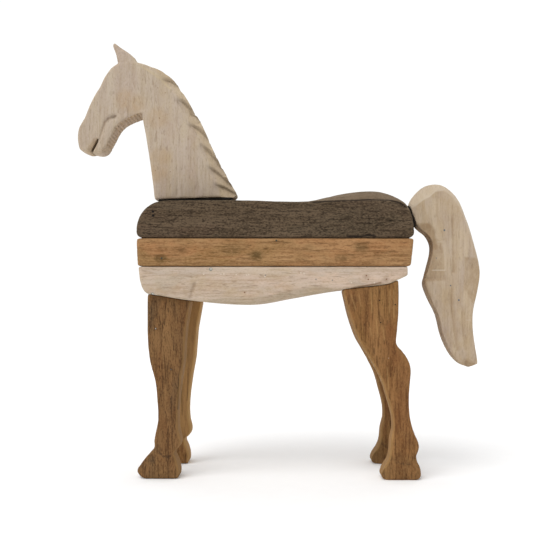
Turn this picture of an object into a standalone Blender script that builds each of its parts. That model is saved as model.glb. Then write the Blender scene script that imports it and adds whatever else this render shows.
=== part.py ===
"""Wooden horse sculpture, 0.6 m high, put together from eleven blocks of reclaimed timber.

Three planks stacked flat make the body. Four carved legs stand under it, a carved head and
neck stand on it, and a carved tail leans on its rear end. Two dark blocks part the neck and
the tail from the body. Units are metres and +Z is up. The origin is on the floor, below the
middle of the sculpture's length. The horse faces -X and its left side is -Y.
"""

import math

import bmesh
import bpy
import numpy as np
from mathutils import Matrix, Vector

# Fit between pieces that touch
JOINT_GAP = 0.0003

# Most that a carved section's corner may take up of half its side
ROUNDEST = 0.9

# Body planks, from the lowest to the highest
BODY_FRONT_X = -0.1895
BODY_WIDTH = 0.150
STAND_HEIGHT = 0.2334
BELLY_LENGTH = 0.3577
BELLY_THICKNESS = 0.0509
BELLY_SETBACK = 0.0030
BELLY_NOSE_LENGTH = 0.0126
BELLY_NOSE_HEIGHT = 0.0366
BELLY_BEVEL = 0.0105
BELLY_BEVEL_FADE = 0.0300
BELLY_FRONT_FOOTING = 0.0470
BELLY_HIND_FOOTING = 0.0840
MIDDLE_LENGTH = 0.3690
MIDDLE_THICKNESS = 0.0374
MIDDLE_EDGE = 0.0026
MIDDLE_FRONT_LEAN = 0.0014
MIDDLE_REAR_LEAN = 0.0040
BACK_LENGTH = 0.3692
BACK_THICKNESS = 0.0504
BACK_FRONT_RADIUS = 0.0388
BACK_REAR_LENGTH = 0.0182
BACK_REAR_HEIGHT = 0.0408
SADDLE_START = 0.1250
SADDLE_FALL = 0.0019
PLANK_EDGE = 0.0022
PLANK_END_CHAMFER = 0.0045

# Croup, the mound carved out of the back plank's rear part
CROUP_LENGTH = 0.1440
CROUP_FALL = 0.0440
CROUP_END_INSET = 0.0095
CROUP_RISE = 0.0185
CROUP_SHOULDER = 0.0300
CROUP_CREST = 0.0450
CROUP_CLIMB_CURVE = 1.15
CROUP_FALL_CURVE = 0.7
HIP_STEP = 0.0020

# Legs
LEG_FACE_INSET = 0.0020
FRONT_LEFT_FACE_INSET = 0.0090
LEG_THICKNESS = 0.0360
LEG_CORNER = 0.0035
FRONT_LEG_INSET = 0.0385
HIND_LEG_INSET = 0.0092
FRONT_RIGHT_LEAN = (0.0006, 0.0040)
HIND_RIGHT_LEAN = (-0.0020, 0.0065)

# Head and neck
NECK_INSET = 0.0159
NECK_HEIGHT = 0.2193
NECK_THICKNESS = 0.0500
NECK_FOOT_SHARE = 0.500
NECK_SEAT_FRONT = 0.0074
NECK_SEAT_REAR = 0.0105
NECK_CORNER = 0.0035
BLOCK_EDGE = 0.0010
NECK_BLOCK_THICKNESS = 0.0460
NECK_BLOCK_FRONT_TAPER = 0.0063
NECK_BLOCK_REAR_TAPER = 0.0104
NECK_BLOCK_SIDE_TAPER = 0.0024
NECK_BLOCK_FRONT_INSET = 0.0037
NECK_BLOCK_REAR_INSET = 0.0005
EAR_SPREAD = 0.0260
EAR_THICKNESS = 0.0130
EAR_CORNER = 0.0043
MANE_CUT_WIDTH = 0.0100
MANE_CUT_DEPTH = 0.0040
MANE_CUT_OVERSHOOT = 0.0060
MOUTH_LENGTH = 0.0260
MOUTH_WIDTH = 0.0042
MOUTH_DEPTH = 0.0130
MOUTH_TURN = math.radians(29)
MOUTH_PLACE = (-0.385, 0.345)
MOUTH_FACE_Y = 0.0185

# Tail
TAIL_LENGTH = 0.2540
TAIL_THICKNESS = 0.0350
TAIL_CORNER = 0.0040
TAIL_BLOCK_LENGTH = 0.0300
TAIL_BLOCK_HEIGHT = 0.0310
TAIL_BLOCK_WIDTH = 0.0300
TAIL_REACH = 0.0075
TAIL_DROP = 0.0144
TAIL_LEAN = math.radians(17.5)

# Underside of the belly plank: share of the length from the front, share of the thickness cut
BELLY_LINE = (
    (0.000, 0.300),
    (0.035, 0.280),
    (0.171, 0.130),
    (0.408, 0.000),
    (0.574, 0.185),
    (0.747, 0.395),
    (0.941, 0.565),
    (0.974, 0.690),
    (1.000, 0.768),
)

# Legs, in shares of the stand height: height, front edge, rear edge, and the thickness there
# as a share of the leg's stock
FRONT_LEG_SHAPE = (
    (0.000, -0.122, 0.044, 0.72),  # sole
    (0.008, -0.153, 0.054, 0.92),
    (0.021, -0.172, 0.058, 0.98),
    (0.043, -0.184, 0.059, 1.00),  # toe
    (0.080, -0.163, 0.052, 0.96),
    (0.117, -0.137, 0.040, 0.90),
    (0.159, -0.100, 0.033, 0.80),  # hoof rim
    (0.180, -0.084, 0.058, 0.82),
    (0.214, -0.086, 0.069, 0.86),  # fetlock
    (0.266, -0.077, 0.056, 0.80),
    (0.334, -0.064, 0.050, 0.76),  # cannon
    (0.454, -0.069, 0.056, 0.78),
    (0.566, -0.080, 0.070, 0.85),  # knee
    (0.677, -0.110, 0.087, 0.92),
    (0.857, -0.123, 0.098, 0.98),  # forearm
    (1.120, -0.120, 0.145, 1.00),
)
HIND_LEG_SHAPE = (
    (0.000, -0.076, 0.088, 0.90),  # sole
    (0.008, -0.101, 0.110, 0.97),
    (0.020, -0.109, 0.118, 0.99),
    (0.040, -0.106, 0.118, 1.00),  # toe
    (0.077, -0.088, 0.110, 0.94),
    (0.133, -0.061, 0.091, 0.82),  # hoof rim
    (0.189, -0.055, 0.110, 0.86),  # fetlock
    (0.223, -0.054, 0.099, 0.84),
    (0.283, -0.041, 0.074, 0.78),
    (0.360, -0.045, 0.056, 0.74),  # cannon
    (0.471, -0.076, 0.051, 0.76),
    (0.574, -0.109, 0.058, 0.82),
    (0.634, -0.140, 0.061, 0.86),  # hock
    (0.686, -0.170, 0.044, 0.90),
    (0.741, -0.203, 0.006, 0.94),
    (0.775, -0.225, -0.024, 0.96),
    (0.823, -0.248, -0.022, 0.98),  # gaskin
    (0.951, -0.294, -0.011, 1.00),
    (1.180, -0.352, -0.012, 1.00),
)

# Neck and head, in shares of the neck's height from the front of its foot: throat edge along
# and up, crest edge along and up, and thickness as a share of the neck's
NECK_SHAPE = (
    (-0.004, 0.030, 0.518, 0.036, 1.00),
    (-0.007, 0.062, 0.502, 0.067, 1.00),
    (-0.018, 0.150, 0.447, 0.166, 1.00),
    (-0.050, 0.361, 0.346, 0.365, 0.97),
    (-0.073, 0.485, 0.291, 0.490, 0.92),
    (-0.087, 0.543, 0.241, 0.574, 0.90),  # throat
    (-0.110, 0.543, 0.182, 0.673, 0.87),
    (-0.141, 0.530, 0.083, 0.794, 0.84),
    (-0.178, 0.514, -0.048, 0.857, 0.83),
    (-0.212, 0.494, -0.165, 0.882, 0.82),  # poll
    (-0.238, 0.470, -0.256, 0.859, 0.82),
    (-0.261, 0.436, -0.321, 0.783, 0.82),  # forehead
    (-0.279, 0.400, -0.349, 0.724, 0.82),
    (-0.296, 0.366, -0.382, 0.672, 0.81),
    (-0.317, 0.328, -0.420, 0.598, 0.79),
    (-0.336, 0.308, -0.451, 0.525, 0.77),
    (-0.360, 0.300, -0.489, 0.456, 0.75),  # chin
    (-0.397, 0.303, -0.497, 0.388, 0.73),  # lips
    (-0.434, 0.302, -0.487, 0.324, 0.68),
)

# Mane cuts, in the same shares: inner tip along and up, end at the crest along and up
MANE_CUTS = (
    (0.038, 0.766, 0.152, 0.706),
    (0.132, 0.636, 0.237, 0.549),
    (0.208, 0.478, 0.334, 0.395),
    (0.290, 0.348, 0.399, 0.232),
    (0.337, 0.208, 0.490, 0.079),
    (0.379, 0.090, 0.507, 0.033),
)

# Ear, in the same shares: front edge along and up, rear edge along and up, thickness as a
# share of the ear's
EAR_SHAPE = (
    (-0.222, 0.800, -0.092, 0.800, 1.00),
    (-0.240, 0.872, -0.110, 0.870, 1.00),
    (-0.251, 0.924, -0.155, 0.927, 0.85),
    (-0.266, 0.962, -0.205, 0.962, 0.65),
    (-0.275, 0.985, -0.242, 0.989, 0.50),
    (-0.270, 1.000, -0.256, 1.001, 0.35),
)

# Tail, in shares of its length from its joint: inner edge along and up, outer edge along and
# up, and thickness as a share of the tail's
TAIL_SHAPE = (
    (0.026, -0.060, -0.018, 0.058, 0.86),
    (0.049, -0.080, 0.004, 0.106, 0.92),
    (0.082, -0.106, 0.069, 0.165, 0.98),
    (0.105, -0.148, 0.152, 0.171, 1.00),
    (0.108, -0.197, 0.232, 0.113, 1.00),
    (0.092, -0.266, 0.290, -0.006, 1.00),
    (0.074, -0.335, 0.338, -0.158, 1.00),
    (0.067, -0.384, 0.371, -0.308, 1.00),
    (0.094, -0.455, 0.358, -0.409, 0.98),
    (0.139, -0.549, 0.334, -0.521, 0.95),
    (0.165, -0.658, 0.332, -0.615, 0.90),
    (0.204, -0.749, 0.344, -0.702, 0.80),
    (0.260, -0.816, 0.358, -0.770, 0.62),
    (0.314, -0.838, 0.367, -0.818, 0.46),
)

# Levels and places that follow from the sizes above
BELLY_TOP = STAND_HEIGHT + BELLY_THICKNESS
MIDDLE_BOTTOM = BELLY_TOP + JOINT_GAP
MIDDLE_TOP = MIDDLE_BOTTOM + MIDDLE_THICKNESS
BACK_BOTTOM = MIDDLE_TOP + JOINT_GAP
BACK_TOP = BACK_BOTTOM + BACK_THICKNESS
BACK_REAR_X = BODY_FRONT_X + BACK_LENGTH
LEG_MIDDLE_Y = BODY_WIDTH / 2 - LEG_FACE_INSET - LEG_THICKNESS / 2
FRONT_LEFT_MIDDLE_Y = BODY_WIDTH / 2 - FRONT_LEFT_FACE_INSET - LEG_THICKNESS / 2
NECK_FRONT_X = BODY_FRONT_X + NECK_INSET
NECK_FOOT_Z = BACK_TOP + NECK_SEAT_FRONT + JOINT_GAP


def linear_colour(red, green, blue):
    """Turn a colour of 0 to 255 a channel into the linear values that a shader takes."""
    return tuple((channel / 255) ** 2.2 for channel in (red, green, blue)) + (1.0,)


def wood(name, colour, roughness):
    """Make a plain Principled material."""
    material = bpy.data.materials.new(name)
    material.use_nodes = True
    shader = material.node_tree.nodes["Principled BSDF"]
    shader.inputs["Base Color"].default_value = colour
    shader.inputs["Roughness"].default_value = roughness
    shader.inputs["Metallic"].default_value = 0.0
    return material


def place(shape, name, collection, material=None):
    """Turn a bmesh into a smooth shaded object in a collection."""
    bmesh.ops.recalc_face_normals(shape, faces=shape.faces)
    mesh = bpy.data.meshes.new(name)
    shape.to_mesh(mesh)
    shape.free()
    mesh.shade_smooth()
    mesh.set_sharp_from_angle(angle=math.radians(35))
    if material:
        mesh.materials.append(material)
    piece = bpy.data.objects.new(name, mesh)
    collection.objects.link(piece)
    return piece


def place_cutter(shape, name, collection):
    """Turn a bmesh into a hidden helper that shapes another piece."""
    cutter = place(shape, name, collection)
    cutter.hide_render = True
    cutter.display_type = "WIRE"
    return cutter


def ease_edges(piece, width, segments):
    """Round a box's edges over."""
    modifier = piece.modifiers.new("eased edges", "BEVEL")
    modifier.width = width
    modifier.segments = segments


def combine(piece, helper, operation):
    """Cut a helper out of a piece, or join it on, exactly."""
    modifier = piece.modifiers.new(helper.name, "BOOLEAN")
    modifier.solver = "EXACT"
    modifier.operation = operation
    modifier.object = helper


def keep_flats_flat(piece):
    """Let large faces lead the shading, so that cuts leave the flats around them even."""
    modifier = piece.modifiers.new("even shading", "WEIGHTED_NORMAL")
    modifier.keep_sharp = True


def smooth_rows(rows, steps):
    """Draw a smooth curve through rows of numbers, with this many steps from row to row."""
    rows = np.array(rows)
    changes = np.diff(rows, axis=0)
    spans = np.linalg.norm(changes, axis=1)[:, None]
    slopes = changes / spans
    inner = (slopes[:-1] * spans[1:] + slopes[1:] * spans[:-1]) / (spans[:-1] + spans[1:])
    tangents = np.vstack((slopes[:1], inner, slopes[-1:]))
    curve = []
    for index, span in enumerate(spans[:, 0]):
        for share in np.arange(steps) / steps:
            start_weight = 2 * share ** 3 - 3 * share ** 2 + 1
            end_weight = 3 * share ** 2 - 2 * share ** 3
            start_pull = (share ** 3 - 2 * share ** 2 + share) * span
            end_pull = (share ** 3 - share ** 2) * span
            curve.append(
                start_weight * rows[index]
                + end_weight * rows[index + 1]
                + start_pull * tangents[index]
                + end_pull * tangents[index + 1]
            )
    curve.append(rows[-1])
    return curve


def loft(rings):
    """Join rings of points, all of one count, into a closed skin with flat end caps."""
    shape = bmesh.new()
    loops = [[shape.verts.new(point) for point in ring] for ring in rings]
    for lower, upper in zip(loops, loops[1:]):
        for index, corner in enumerate(lower):
            after = (index + 1) % len(lower)
            shape.faces.new((corner, lower[after], upper[after], upper[index]))
    shape.faces.new(loops[0][::-1])
    shape.faces.new(loops[-1])
    return shape


def slab_ring(first, second, middle_y, thickness, corner, arc_points=3):
    """Rounded rectangle across a board, from one edge of its side view to the other."""
    first = Vector((first[0], middle_y, first[1]))
    second = Vector((second[0], middle_y, second[1]))
    centre = (first + second) / 2
    along = (second - first).normalized()
    across = Vector((0, 1, 0))
    half_length = (second - first).length / 2
    half_thickness = thickness / 2
    radius = min(corner, half_length * ROUNDEST, half_thickness * ROUNDEST)
    ring = []
    for quarter, (side, face) in enumerate(((1, 1), (-1, 1), (-1, -1), (1, -1))):
        for step in range(arc_points):
            angle = math.radians(90) * (quarter + step / (arc_points - 1))
            reach = side * (half_length - radius) + radius * math.cos(angle)
            lift = face * (half_thickness - radius) + radius * math.sin(angle)
            ring.append(centre + along * reach + across * lift)
    return ring


def plank_ring(x, half_section):
    """Mirror half a section, given as pairs of Y and Z from top to bottom, into a ring."""
    left = [Vector((x, -y, z)) for y, z in half_section]
    right = [Vector((x, y, z)) for y, z in reversed(half_section)]
    return left + right


def belly_underside(x):
    """Height of the belly plank's carved underside."""
    share = (x - BODY_FRONT_X - BELLY_SETBACK) / BELLY_LENGTH
    curve = np.array(smooth_rows(BELLY_LINE, 6))
    cut = np.interp(share, curve[:, 0], curve[:, 1])
    return STAND_HEIGHT + cut * BELLY_THICKNESS


def belly_shape(grow=0.0):
    """Belly plank: rounded nose, sagging underside, bevelled between the legs."""
    front = BODY_FRONT_X + BELLY_SETBACK
    rear = front + BELLY_LENGTH
    nose_middle = front + BELLY_NOSE_LENGTH
    sections = []
    for degrees in range(10, 90, 16):
        angle = math.radians(degrees)
        x = nose_middle - (BELLY_NOSE_LENGTH + grow) * math.cos(angle)
        drop = BELLY_NOSE_HEIGHT * math.sin(angle)
        sections.append((x, BELLY_TOP - drop))
    for x in np.linspace(nose_middle, rear, 30):
        sections.append((x, belly_underside(x)))
    bevel_start = front_leg_x() + BELLY_FRONT_FOOTING
    bevel_end = hind_leg_x() - BELLY_HIND_FOOTING
    rings = []
    sections[-1] = (rear + grow, sections[-1][1])
    for x, bottom in sections:
        from_legs = max(min(x - bevel_start, bevel_end - x), 0)
        fade = min(from_legs / BELLY_BEVEL_FADE, 1)
        bevel = PLANK_EDGE + (BELLY_BEVEL - PLANK_EDGE) * fade
        half = BODY_WIDTH / 2 + grow
        top = BELLY_TOP + grow
        foot = bottom - grow
        rings.append(plank_ring(x, (
            (half - PLANK_EDGE, top),
            (half, top - PLANK_EDGE),
            (half, foot + bevel),
            (half - bevel / 3, foot + bevel / 3),
            (half - bevel, foot),
        )))
    return loft(rings)


def front_leg_x():
    """Place of the front legs' cannon line."""
    return BODY_FRONT_X + BELLY_SETBACK + FRONT_LEG_INSET


def hind_leg_x():
    """Place of the hind legs' cannon line."""
    return BODY_FRONT_X + BELLY_SETBACK + BELLY_LENGTH - HIND_LEG_INSET


def croup_share(x):
    """Height of the croup above the plank's top line, as a share of its rise."""
    start = BACK_REAR_X - CROUP_END_INSET - CROUP_LENGTH
    peak = BACK_REAR_X - CROUP_END_INSET - CROUP_FALL
    end = BACK_REAR_X - CROUP_END_INSET
    if x <= start or x >= end:
        return 0.0
    if x <= peak:
        return math.sin(math.radians(90) * (x - start) / (peak - start)) ** CROUP_CLIMB_CURVE
    return math.cos(math.radians(90) * (x - peak) / (end - peak)) ** CROUP_FALL_CURVE


def saddle_share(x):
    """Share of the saddle's fall that the back plank's top has taken by this place."""
    start = BODY_FRONT_X + SADDLE_START
    end = BACK_REAR_X - CROUP_END_INSET - CROUP_LENGTH
    share = min(max((x - start) / (end - start), 0), 1)
    return (1 - math.cos(math.pi * share)) / 2


def back_edge(x):
    """Height of the back plank's top without the croup: it falls at both ends and to the saddle."""
    front_middle = BODY_FRONT_X + BACK_FRONT_RADIUS
    rear_middle = BACK_REAR_X - BACK_REAR_LENGTH
    top = BACK_TOP - SADDLE_FALL * saddle_share(x)
    if x < front_middle:
        share = min((front_middle - x) / BACK_FRONT_RADIUS, 1)
        return top - BACK_FRONT_RADIUS * (1 - math.sqrt(1 - share ** 2))
    if x > rear_middle:
        share = min((x - rear_middle) / BACK_REAR_LENGTH, 1)
        return top - BACK_REAR_HEIGHT * (1 - math.sqrt(1 - share ** 2))
    return top


def back_shape(grow=0.0):
    """Back plank: rounded front corner, shallow saddle, and the croup with carved shoulders."""
    front_middle = BODY_FRONT_X + BACK_FRONT_RADIUS
    rear_middle = BACK_REAR_X - BACK_REAR_LENGTH
    croup_start = BACK_REAR_X - CROUP_END_INSET - CROUP_LENGTH
    turns = [math.radians(degrees) for degrees in range(0, 90, 15)]
    places = [front_middle - BACK_FRONT_RADIUS * math.cos(turn) for turn in turns]
    places += [front_middle]
    places += list(np.linspace(BODY_FRONT_X + SADDLE_START, croup_start, 5)[:-1])
    places += list(np.linspace(croup_start, rear_middle, 18))
    places += [rear_middle + BACK_REAR_LENGTH * math.sin(turn) for turn in turns[1:]]
    places += [BACK_REAR_X]
    ends = [places[0] - grow, *places[1:-1], places[-1] + grow]
    rings = []
    for x, ring_x in zip(places, ends):
        end_distance = min(x - BODY_FRONT_X, BACK_REAR_X - x)
        chamfer = max(PLANK_END_CHAMFER - end_distance, 0)
        bottom = BACK_BOTTOM + chamfer - grow
        half = BODY_WIDTH / 2 + grow
        edge = back_edge(x) + grow
        rise = croup_share(x)
        crest = edge + CROUP_RISE * rise
        hip = edge + HIP_STEP * rise
        rings.append(plank_ring(ring_x, (
            (half - CROUP_CREST, crest),
            (half - CROUP_SHOULDER, crest - (crest - hip) / 16),
            (half - CROUP_SHOULDER / 2, (crest + hip) / 2 + (crest - hip) / 16),
            (half - PLANK_EDGE, hip),
            (half, hip - PLANK_EDGE),
            (half, bottom + PLANK_EDGE),
            (half - PLANK_EDGE, bottom),
        )))
    return loft(rings)


def middle_shape():
    """Middle plank: a box whose ends lean in a little towards the bottom."""
    shape = bmesh.new()
    bmesh.ops.create_cube(shape, size=1)
    centre = (BODY_FRONT_X + MIDDLE_LENGTH / 2, 0, (MIDDLE_BOTTOM + MIDDLE_TOP) / 2)
    size = Matrix.Diagonal((MIDDLE_LENGTH, BODY_WIDTH, MIDDLE_THICKNESS, 1))
    bmesh.ops.transform(shape, matrix=Matrix.Translation(centre) @ size, verts=shape.verts)
    for corner in shape.verts:
        if corner.co.z < centre[2] and corner.co.x < centre[0]:
            corner.co.x += MIDDLE_FRONT_LEAN
        elif corner.co.z < centre[2]:
            corner.co.x -= MIDDLE_REAR_LEAN
    return shape


def leg_shape(stations, leg_x, middle_y, lean):
    """Leg of a board's thickness, carved along the edges that its stations give.

    The lean shifts the leg to the rear, by its first value at the foot and its second on top.
    """
    rings = []
    for height, front, rear, share in smooth_rows(stations, 2):
        z = height * STAND_HEIGHT
        x = leg_x + lean[0] + (lean[1] - lean[0]) * height
        first = (x + front * STAND_HEIGHT, z)
        second = (x + rear * STAND_HEIGHT, z)
        rings.append(slab_ring(first, second, middle_y, share * LEG_THICKNESS, LEG_CORNER))
    return loft(rings)


def neck_point(along, up):
    """Place of a point of the head and neck in the side view."""
    return (NECK_FRONT_X + along * NECK_HEIGHT, NECK_FOOT_Z + up * NECK_HEIGHT)


def neck_foot():
    """Throat end and crest end of the neck's flat foot, which leans with its block."""
    foot_length = NECK_FOOT_SHARE * NECK_HEIGHT
    throat = (NECK_FRONT_X, NECK_FOOT_Z)
    crest = (NECK_FRONT_X + foot_length, NECK_FOOT_Z + NECK_SEAT_REAR - NECK_SEAT_FRONT)
    return throat, crest


def neck_rows():
    """Edges and thickness of the neck and head, from the foot to the lips."""
    rows = [(*neck_foot()[0], *neck_foot()[1], NECK_THICKNESS)]
    for throat_x, throat_z, crest_x, crest_z, share in NECK_SHAPE:
        throat = neck_point(throat_x, throat_z)
        crest = neck_point(crest_x, crest_z)
        rows.append((*throat, *crest, share * NECK_THICKNESS))
    return rows


def neck_shape():
    """Neck and head as one carved board, thinner at the muzzle."""
    rings = []
    for throat_x, throat_z, crest_x, crest_z, thickness in smooth_rows(neck_rows(), 3):
        rings.append(slab_ring((throat_x, throat_z), (crest_x, crest_z), 0, thickness, NECK_CORNER))
    return loft(rings)


def ear_shape(side):
    """Pointed ear, thin at its tip."""
    rings = []
    for front_x, front_z, rear_x, rear_z, share in smooth_rows(EAR_SHAPE, 2):
        first = neck_point(front_x, front_z)
        second = neck_point(rear_x, rear_z)
        thickness = share * EAR_THICKNESS
        rings.append(slab_ring(first, second, side * EAR_SPREAD / 2, thickness, EAR_CORNER))
    return loft(rings)


def gouge_shape(centre, side, turn, length, width, depth):
    """Long almond that scoops wood out of a side face."""
    shape = bmesh.new()
    bmesh.ops.create_uvsphere(shape, u_segments=10, v_segments=8, radius=1)
    size = Matrix.Diagonal((width / 2, depth, length / 2, 1))
    lie = Matrix.Rotation(turn, 4, "Y")
    spot = Matrix.Translation((centre[0], side * centre[1], centre[2]))
    bmesh.ops.transform(shape, matrix=spot @ lie @ size, verts=shape.verts)
    return shape


def mane_cuts():
    """Centre, half thickness there, turn and length of each slanting cut along the crest."""
    curve = np.array(smooth_rows(neck_rows()[:9], 12))
    cuts = []
    for inner_x, inner_z, outer_x, outer_z in MANE_CUTS:
        inner = Vector(neck_point(inner_x, inner_z))
        outer = Vector(neck_point(outer_x, outer_z))
        run = outer - inner
        length = run.length + MANE_CUT_OVERSHOOT
        centre = inner + run.normalized() * length / 2
        thickness = np.interp(centre.y, curve[:, 3], curve[:, 4])
        turn = math.atan2(run.x, run.y)
        cuts.append(((centre.x, thickness / 2, centre.y), turn, length))
    return cuts


def neck_block_shape():
    """Dark wedge between the back plank and the neck's sloping foot."""
    throat, crest = neck_foot()
    front_x = throat[0] + NECK_BLOCK_FRONT_INSET
    rear_x = crest[0] - NECK_BLOCK_REAR_INSET
    middle_x = (front_x + rear_x) / 2
    slope = (crest[1] - throat[1]) / (crest[0] - throat[0])
    shape = bmesh.new()
    bmesh.ops.create_cube(shape, size=1)
    size = Matrix.Diagonal((rear_x - front_x, NECK_BLOCK_THICKNESS, NECK_SEAT_REAR, 1))
    spot = Matrix.Translation((middle_x, 0, BACK_TOP))
    bmesh.ops.transform(shape, matrix=spot @ size, verts=shape.verts)
    for corner in shape.verts:
        if corner.co.z < BACK_TOP:
            corner.co.z = BACK_TOP + JOINT_GAP
            if corner.co.x < middle_x:
                corner.co.x += NECK_BLOCK_FRONT_TAPER
            else:
                corner.co.x -= NECK_BLOCK_REAR_TAPER
            corner.co.y -= math.copysign(NECK_BLOCK_SIDE_TAPER, corner.co.y)
        else:
            corner.co.z = throat[1] + slope * (corner.co.x - throat[0]) - JOINT_GAP
    return shape


def tail_joint():
    """Middle of the joint between the tail and its dark block."""
    return BACK_REAR_X + TAIL_REACH, BACK_TOP - TAIL_DROP


def tail_shape():
    """Tail as one carved board that leans on its block and hangs down behind."""
    joint_x, joint_z = tail_joint()
    rings = []
    for inner_x, inner_z, outer_x, outer_z, share in smooth_rows(TAIL_SHAPE, 3):
        first = (joint_x + inner_x * TAIL_LENGTH, joint_z + inner_z * TAIL_LENGTH)
        second = (joint_x + outer_x * TAIL_LENGTH, joint_z + outer_z * TAIL_LENGTH)
        rings.append(slab_ring(first, second, 0, share * TAIL_THICKNESS, TAIL_CORNER))
    return loft(rings)


def tail_block_shape():
    """Dark block that reaches from the rump to the tail's joint face."""
    joint_x, joint_z = tail_joint()
    shape = bmesh.new()
    bmesh.ops.create_cube(shape, size=1)
    size = Matrix.Diagonal((TAIL_BLOCK_LENGTH, TAIL_BLOCK_WIDTH, TAIL_BLOCK_HEIGHT, 1))
    push = Matrix.Translation((-TAIL_BLOCK_LENGTH / 2 - JOINT_GAP, 0, 0))
    lean = Matrix.Rotation(-TAIL_LEAN, 4, "Y")
    spot = Matrix.Translation((joint_x, 0, joint_z))
    bmesh.ops.transform(shape, matrix=spot @ lean @ push @ size, verts=shape.verts)
    return shape


def main():
    """Build the sculpture."""
    for old in list(bpy.data.objects):
        bpy.data.objects.remove(old)
    parts = bpy.data.collections.new("wooden_horse_sculpture")
    cutters = bpy.data.collections.new("cutters")
    for collection in (parts, cutters):
        bpy.context.scene.collection.children.link(collection)

    pale = wood("pale_wood", linear_colour(177, 160, 138), 0.85)
    belly_wood = wood("belly_wood", linear_colour(195, 176, 155), 0.85)
    dark = wood("dark_wood", linear_colour(86, 72, 56), 0.80)
    tan = wood("tan_wood", linear_colour(152, 117, 80), 0.80)
    brown = wood("brown_wood", linear_colour(126, 90, 57), 0.80)
    black = wood("black_wood", linear_colour(30, 26, 24), 0.75)

    place(belly_shape(), "belly_plank", parts, belly_wood)
    place(back_shape(), "back_plank", parts, dark)
    middle = place(middle_shape(), "middle_plank", parts, tan)
    ease_edges(middle, MIDDLE_EDGE, 2)

    belly_room = place_cutter(belly_shape(JOINT_GAP), "belly_room", cutters)
    legs = (
        ("front_left_leg", FRONT_LEG_SHAPE, front_leg_x(), -FRONT_LEFT_MIDDLE_Y, (0, 0)),
        ("front_right_leg", FRONT_LEG_SHAPE, front_leg_x(), LEG_MIDDLE_Y, FRONT_RIGHT_LEAN),
        ("hind_left_leg", HIND_LEG_SHAPE, hind_leg_x(), -LEG_MIDDLE_Y, (0, 0)),
        ("hind_right_leg", HIND_LEG_SHAPE, hind_leg_x(), LEG_MIDDLE_Y, HIND_RIGHT_LEAN),
    )
    for name, stations, leg_x, middle_y, lean in legs:
        leg = place(leg_shape(stations, leg_x, middle_y, lean), name, parts, brown)
        combine(leg, belly_room, "DIFFERENCE")
        keep_flats_flat(leg)

    head = place(neck_shape(), "head_and_neck", parts, pale)
    mouth = neck_point(*MOUTH_PLACE)
    for side, label in ((-1, "left"), (1, "right")):
        ear = place_cutter(ear_shape(side), f"{label}_ear_horn", cutters)
        combine(head, ear, "UNION")
        for number, (spot, turn, length) in enumerate(mane_cuts()):
            gouge = gouge_shape(spot, side, turn, length, MANE_CUT_WIDTH, MANE_CUT_DEPTH)
            cutter = place_cutter(gouge, f"{label}_mane_cut_{number + 1}", cutters)
            combine(head, cutter, "DIFFERENCE")
        spot = (mouth[0], MOUTH_FACE_Y, mouth[1])
        slit = gouge_shape(spot, side, MOUTH_TURN, MOUTH_LENGTH, MOUTH_WIDTH, MOUTH_DEPTH)
        combine(head, place_cutter(slit, f"{label}_mouth_cut", cutters), "DIFFERENCE")
    keep_flats_flat(head)
    neck_block = place(neck_block_shape(), "neck_block", parts, black)
    ease_edges(neck_block, BLOCK_EDGE, 1)

    place(tail_shape(), "tail", parts, pale)
    tail_block = place(tail_block_shape(), "tail_block", parts, black)
    ease_edges(tail_block, BLOCK_EDGE, 1)
    back_room = place_cutter(back_shape(JOINT_GAP), "back_room", cutters)
    combine(tail_block, back_room, "DIFFERENCE")


main()
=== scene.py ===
"""Wooden horse sculpture: carved relief, wood materials, camera and soft studio light.

Every piece is a finer mesh of its node's solid. The relief only takes wood away, and each
piece is kept inside the box of its solid. Units are metres, +Z is up, the horse faces -X and
its left side is -Y.
"""

import itertools
import math

import bpy
import numpy as np
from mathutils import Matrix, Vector


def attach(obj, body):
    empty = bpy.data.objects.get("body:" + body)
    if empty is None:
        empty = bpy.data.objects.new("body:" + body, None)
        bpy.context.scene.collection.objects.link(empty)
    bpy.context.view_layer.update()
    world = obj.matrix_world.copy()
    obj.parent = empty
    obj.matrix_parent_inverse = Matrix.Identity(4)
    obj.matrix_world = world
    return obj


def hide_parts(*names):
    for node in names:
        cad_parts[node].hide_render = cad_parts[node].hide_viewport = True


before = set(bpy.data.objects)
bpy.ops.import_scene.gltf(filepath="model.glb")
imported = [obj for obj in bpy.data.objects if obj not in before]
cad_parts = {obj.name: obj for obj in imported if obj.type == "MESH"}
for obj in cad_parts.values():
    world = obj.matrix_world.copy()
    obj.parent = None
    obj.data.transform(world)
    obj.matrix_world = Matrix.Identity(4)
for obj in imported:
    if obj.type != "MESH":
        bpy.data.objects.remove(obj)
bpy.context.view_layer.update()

# Columns of places in space and of places in the side view, and the signs of the sides
X_AXIS, Y_AXIS, Z_AXIS = 0, 1, 2
ALONG, UP = 0, 1
LEFT, RIGHT = -1, 1

# Camera, found from the perspective of the hooves and planks
CAMERA_PLACE = (0.012, -1.135, 0.2318)
FRAME_PIXELS = 540
FOCAL_PIXELS = 799.4
SHIFT_PIXELS = (-18, 36)
SENSOR_WIDTH = 36.0

# Mesh fineness across the grain, and how much coarser it is along the grain
FINE = 0.00105
PLANK_FINE = 0.00115
ALONG_COARSER = 2.0
CARVED_COARSER = 1.3

# Smoothing of a new mesh: rounds of a step in and a step out
SMOOTHING_ROUNDS = 3
STEP_IN = 0.5
STEP_OUT = -0.52

# Depths of the relief, the spacing of uneven wear, and the height at which soles stay uncut
GRAIN_DEPTH = 0.00025
WEATHERED_DEPTH = 0.00055
EDGE_WEAR = 0.0007
WEAR_SPACING = 0.012
SOLE_KEPT = 0.0012

# Noise values at which ridges of grain and uneven wear start and are full
RIDGE_BAND = (-0.1, 0.8)
WEAR_BAND = (-0.3, 0.6)

# Share of the wear that takes back every edge
LEAST_WEAR = 0.35

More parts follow.
